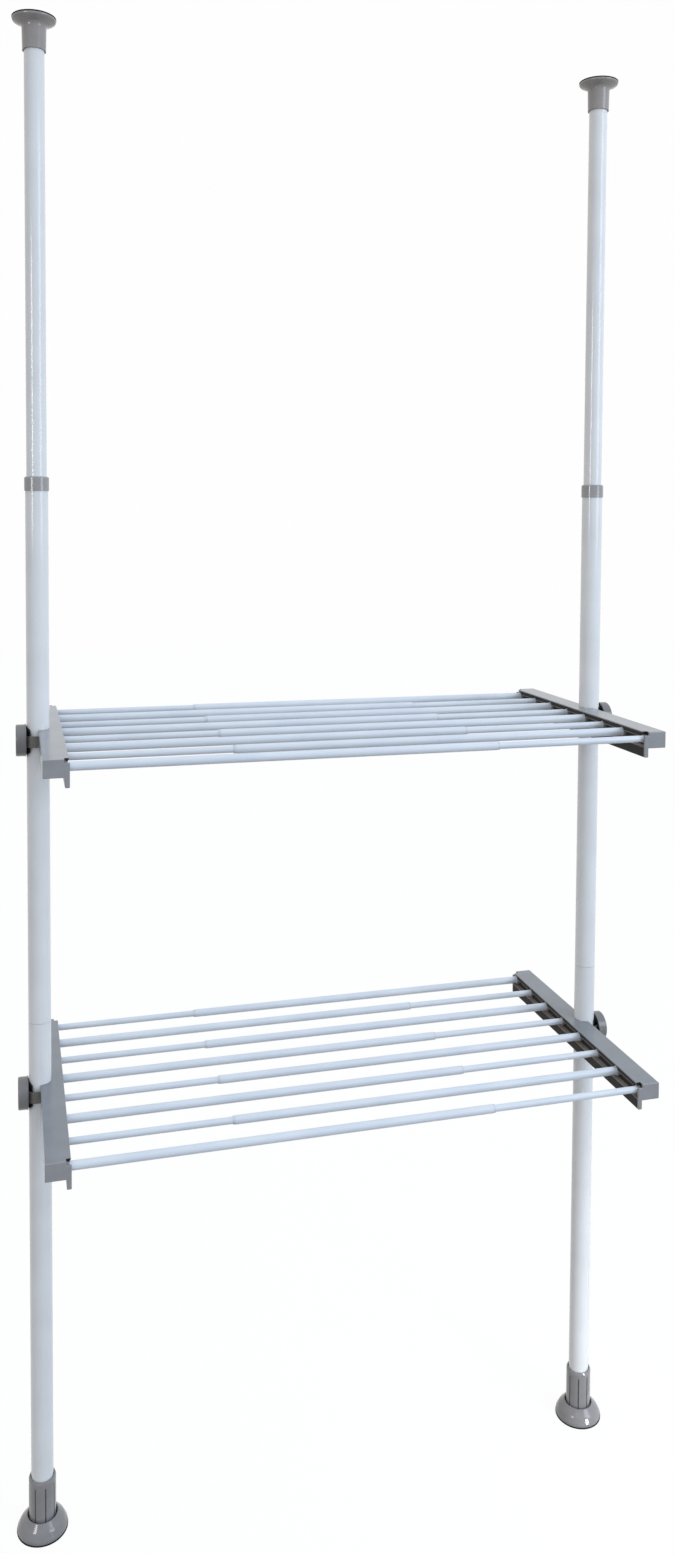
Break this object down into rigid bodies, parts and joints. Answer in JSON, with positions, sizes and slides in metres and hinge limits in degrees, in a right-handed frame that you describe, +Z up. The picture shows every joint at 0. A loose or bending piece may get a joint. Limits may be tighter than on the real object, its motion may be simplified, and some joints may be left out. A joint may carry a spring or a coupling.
{
  "type": "tension pole shelf unit",
  "caption": "Floor-to-ceiling unit of telescopic tension poles that carry adjustable shelves of telescopic rods between clamped side rails.",
  "frame": {"origin": "on the floor, under the middle of the unit's width and depth", "axes": "+X to the right along the shelves, +Y to the back, +Z up along the poles"},
  "size_m": [0.9392, 0.447, 2.178],
  "materials": {
    "white_tube": "glossy powder coat",
    "grey_moulding": "satin moulded",
    "grey_rail": "grey powder coat",
    "pale_moulding": "moulded",
    "dark_moulding": "moulded",
    "black_rubber": "matt",
    "clamp_steel": "dark grey coat",
    "zinc_steel": "zinc plated",
    "spring_steel": "drawn wire"
  },
  "bodies": {
    "left_foot": {"left_foot_sole": "black_rubber", "left_foot_base": "grey_moulding", "left_foot_spindle": "zinc_steel"},
    "left_sleeve": {"left_foot_sleeve": "grey_moulding"},
    "left_pole": {"left_lower_tube": "white_tube", "left_tube_joiner": "zinc_steel", "left_middle_tube": "white_tube", "left_collar": "grey_moulding"},
    "left_extension": {"left_upper_tube": "white_tube", "left_lock_plug": "dark_moulding", "left_spring_seat": "dark_moulding", "left_cap_spring": "spring_steel"},
    "left_cap": {"left_top_cap": "grey_moulding", "left_ceiling_pad": "black_rubber"},
    "right_foot": {"right_foot_sole": "black_rubber", "right_foot_base": "grey_moulding", "right_foot_spindle": "zinc_steel"},
    "right_sleeve": {"right_foot_sleeve": "grey_moulding"},
    "right_pole": {"right_lower_tube": "white_tube", "right_tube_joiner": "zinc_steel", "right_middle_tube": "white_tube", "right_collar": "grey_moulding"},
    "right_extension": {"right_upper_tube": "white_tube", "right_lock_plug": "dark_moulding", "right_spring_seat": "dark_moulding", "right_cap_spring": "spring_steel"},
    "right_cap": {"right_top_cap": "grey_moulding", "right_ceiling_pad": "black_rubber"},
    "lower_left_half": {"lower_left_rail": "grey_rail", "lower_left_end_caps": "grey_moulding", "lower_left_thick_rods": "white_tube", "lower_left_thin_rods": "white_tube", "lower_left_rod_fittings": "pale_moulding", "lower_left_clamp_strap": "clamp_steel"},
    "lower_left_pad": {"lower_left_clamp_pad": "black_rubber"},
    "lower_left_knob": {"lower_left_clamp_knob": "grey_moulding"},
    "lower_right_half": {"lower_right_rail": "grey_rail", "lower_right_end_caps": "grey_moulding", "lower_right_thick_rods": "white_tube", "lower_right_thin_rods": "white_tube", "lower_right_rod_fittings": "pale_moulding", "lower_right_clamp_strap": "clamp_steel"},
    "lower_right_pad": {"lower_right_clamp_pad": "black_rubber"},
    "lower_right_knob": {"lower_right_clamp_knob": "grey_moulding"},
    "upper_left_half": {"upper_left_rail": "grey_rail", "upper_left_end_caps": "grey_moulding", "upper_left_thick_rods": "white_tube", "upper_left_thin_rods": "white_tube", "upper_left_rod_fittings": "pale_moulding", "upper_left_clamp_strap": "clamp_steel"},
    "upper_left_pad": {"upper_left_clamp_pad": "black_rubber"},
    "upper_left_knob": {"upper_left_clamp_knob": "grey_moulding"},
    "upper_right_half": {"upper_right_rail": "grey_rail", "upper_right_end_caps": "grey_moulding", "upper_right_thick_rods": "white_tube", "upper_right_thin_rods": "white_tube", "upper_right_rod_fittings": "pale_moulding", "upper_right_clamp_strap": "clamp_steel"},
    "upper_right_pad": {"upper_right_clamp_pad": "black_rubber"},
    "upper_right_knob": {"upper_right_clamp_knob": "grey_moulding"}
  },
  "joints": [
    {"name": "width", "type": "slide", "parent": "left_foot", "child": "right_foot", "axis": [1, 0, 0], "range_m": [-0.21, 0.28]},
    {"name": "left_jack", "type": "slide", "parent": "left_foot", "child": "left_pole", "axis": [0, 0, 1], "range_m": [0, 0.02]},
    {"name": "left_sleeve_turn", "type": "hinge", "parent": "left_pole", "child": "left_sleeve", "pos_m": [-0.433, 0.0115, 0.045], "axis": [0, 0, 1], "range_deg": [0, 2400]},
    {"name": "left_extension_slide", "type": "slide", "parent": "left_pole", "child": "left_extension", "axis": [0, 0, 1], "range_m": [-0.5, 0.08]},
    {"name": "left_cap_press", "type": "slide", "parent": "left_extension", "child": "left_cap", "axis": [0, 0, 1], "range_m": [-0.008, 0], "stiffness_N_per_m": 4000, "springref_m": 0.002, "deforming": ["left_cap_spring"]},
    {"name": "right_jack", "type": "slide", "parent": "right_foot", "child": "right_pole", "axis": [0, 0, 1], "range_m": [0, 0.02]},
    {"name": "right_sleeve_turn", "type": "hinge", "parent": "right_pole", "child": "right_sleeve", "pos_m": [0.433, 0.0115, 0.045], "axis": [0, 0, 1], "range_deg": [0, 2400]},
    {"name": "right_extension_slide", "type": "slide", "parent": "right_pole", "child": "right_extension", "axis": [0, 0, 1], "range_m": [-0.5, 0.08]},
    {"name": "right_cap_press", "type": "slide", "parent": "right_extension", "child": "right_cap", "axis": [0, 0, 1], "range_m": [-0.008, 0], "stiffness_N_per_m": 4000, "springref_m": 0.002, "deforming": ["right_cap_spring"]},
    {"name": "lower_height", "type": "slide", "parent": "left_pole", "child": "lower_left_half", "axis": [0, 0, 1], "range_m": [-0.45, 0.25]},
    {"name": "lower_extend", "type": "slide", "parent": "lower_left_half", "child": "lower_right_half", "axis": [1, 0, 0], "range_m": [-0.21, 0.28]},
    {"name": "lower_left_pad_slide", "type": "slide", "parent": "lower_left_half", "child": "lower_left_pad", "axis": [-1, 0, 0], "range_m": [0, 0.002]},
    {"name": "lower_left_knob_turn", "type": "hinge", "parent": "lower_left_pad", "child": "lower_left_knob", "pos_m": [-0.458, 0.0115, 0.6555], "axis": [-1, 0, 0], "range_deg": [0, 480]},
    {"name": "lower_right_pad_slide", "type": "slide", "parent": "lower_right_half", "child": "lower_right_pad", "axis": [1, 0, 0], "range_m": [0, 0.002]},
    {"name": "lower_right_knob_turn", "type": "hinge", "parent": "lower_right_pad", "child": "lower_right_knob", "pos_m": [0.458, 0.0115, 0.6555], "axis": [1, 0, 0], "range_deg": [0, 480]},
    {"name": "upper_height", "type": "slide", "parent": "left_pole", "child": "upper_left_half", "axis": [0, 0, 1], "range_m": [-0.2, 0.3]},
    {"name": "upper_extend", "type": "slide", "parent": "upper_left_half", "child": "upper_right_half", "axis": [1, 0, 0], "range_m": [-0.21, 0.28]},
    {"name": "upper_left_pad_slide", "type": "slide", "parent": "upper_left_half", "child": "upper_left_pad", "axis": [-1, 0, 0], "range_m": [0, 0.002]},
    {"name": "upper_left_knob_turn", "type": "hinge", "parent": "upper_left_pad", "child": "upper_left_knob", "pos_m": [-0.458, 0.0115, 1.1685], "axis": [-1, 0, 0], "range_deg": [0, 480]},
    {"name": "upper_right_pad_slide", "type": "slide", "parent": "upper_right_half", "child": "upper_right_pad", "axis": [1, 0, 0], "range_m": [0, 0.002]},
    {"name": "upper_right_knob_turn", "type": "hinge", "parent": "upper_right_pad", "child": "upper_right_knob", "pos_m": [0.458, 0.0115, 1.1685], "axis": [1, 0, 0], "range_deg": [0, 480]}
  ],
  "couplings": [
    {"joint": "left_sleeve_turn", "follows": "left_jack", "rad_per_m": 2094.4},
    {"joint": "right_sleeve_turn", "follows": "right_jack", "rad_per_m": 2094.4},
    {"joint": "lower_extend", "follows": "width", "ratio": 1},
    {"joint": "lower_left_knob_turn", "follows": "lower_left_pad_slide", "rad_per_m": 4188.8},
    {"joint": "lower_right_knob_turn", "follows": "lower_right_pad_slide", "rad_per_m": 4188.8},
    {"joint": "upper_extend", "follows": "width", "ratio": 1},
    {"joint": "upper_left_knob_turn", "follows": "upper_left_pad_slide", "rad_per_m": 4188.8},
    {"joint": "upper_right_knob_turn", "follows": "upper_right_pad_slide", "rad_per_m": 4188.8}
  ]
}
